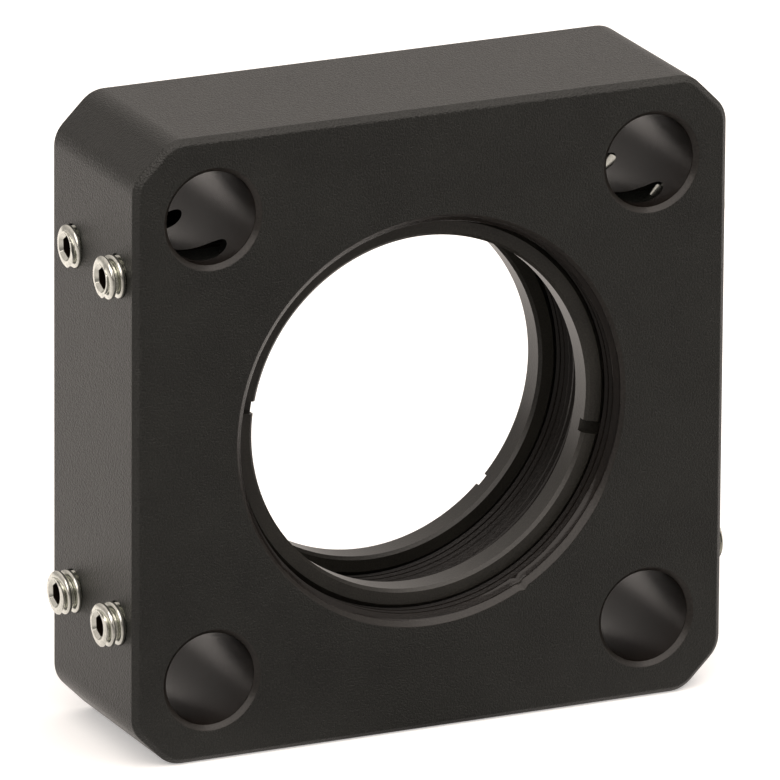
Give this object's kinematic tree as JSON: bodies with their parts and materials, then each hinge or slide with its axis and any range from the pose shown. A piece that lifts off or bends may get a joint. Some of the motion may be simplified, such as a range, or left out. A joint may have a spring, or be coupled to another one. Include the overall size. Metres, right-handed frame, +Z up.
{
  "type": "optical cage plate",
  "caption": "Thick square cage plate with a rod bore near each corner, side set screws that clamp the rods, and a threaded centre bore with slotted retaining rings.",
  "frame": {"origin": "middle of the plate, on the axis of the threaded bore, halfway through its thickness", "axes": "+X to the right and +Z up as seen from the front, +Y from the front face to the rear face along the bore"},
  "size_m": [0.0432, 0.0126, 0.0406],
  "materials": {
    "black_anodised": "matt black anodised, fine blasted grain",
    "ring_anodised": "satin black anodised over turned metal",
    "stainless": "bright turned stainless steel"
  },
  "bodies": {
    "plate": {"plate": "black_anodised"},
    "front_ring": {"front_retaining_ring": "ring_anodised"},
    "rear_ring": {"rear_retaining_ring": "ring_anodised"},
    "screw_top_left_front": {"set_screw_top_left_front": "stainless"},
    "screw_top_left_rear": {"set_screw_top_left_rear": "stainless"},
    "screw_bottom_left_front": {"set_screw_bottom_left_front": "stainless"},
    "screw_bottom_left_rear": {"set_screw_bottom_left_rear": "stainless"},
    "screw_top_right_front": {"set_screw_top_right_front": "stainless"},
    "screw_top_right_rear": {"set_screw_top_right_rear": "stainless"},
    "screw_bottom_right_front": {"set_screw_bottom_right_front": "stainless"},
    "screw_bottom_right_rear": {"set_screw_bottom_right_rear": "stainless"}
  },
  "joints": [
    {"name": "front_ring_travel", "type": "slide", "parent": "plate", "child": "front_ring", "axis": [0, 1, 0], "range_m": [-0.00127, 0.00254]},
    {"name": "rear_ring_travel", "type": "slide", "parent": "plate", "child": "rear_ring", "axis": [0, 1, 0], "range_m": [-0.00191, 0.00191]},
    {"name": "top_left_front_screw_travel", "type": "slide", "parent": "plate", "child": "screw_top_left_front", "axis": [1, 0, 0], "range_m": [-0.00127, 0.00191]},
    {"name": "top_left_rear_screw_travel", "type": "slide", "parent": "plate", "child": "screw_top_left_rear", "axis": [1, 0, 0], "range_m": [-0.00127, 0.00191]},
    {"name": "bottom_left_front_screw_travel", "type": "slide", "parent": "plate", "child": "screw_bottom_left_front", "axis": [1, 0, 0], "range_m": [-0.00127, 0.00191]},
    {"name": "bottom_left_rear_screw_travel", "type": "slide", "parent": "plate", "child": "screw_bottom_left_rear", "axis": [1, 0, 0], "range_m": [-0.00127, 0.00191]},
    {"name": "top_right_front_screw_travel", "type": "slide", "parent": "plate", "child": "screw_top_right_front", "axis": [-1, 0, 0], "range_m": [-0.00127, 0.00191]},
    {"name": "top_right_rear_screw_travel", "type": "slide", "parent": "plate", "child": "screw_top_right_rear", "axis": [-1, 0, 0], "range_m": [-0.00127, 0.00191]},
    {"name": "bottom_right_front_screw_travel", "type": "slide", "parent": "plate", "child": "screw_bottom_right_front", "axis": [-1, 0, 0], "range_m": [-0.00127, 0.00191]},
    {"name": "bottom_right_rear_screw_travel", "type": "slide", "parent": "plate", "child": "screw_bottom_right_rear", "axis": [-1, 0, 0], "range_m": [-0.00127, 0.00191]}
  ]
}
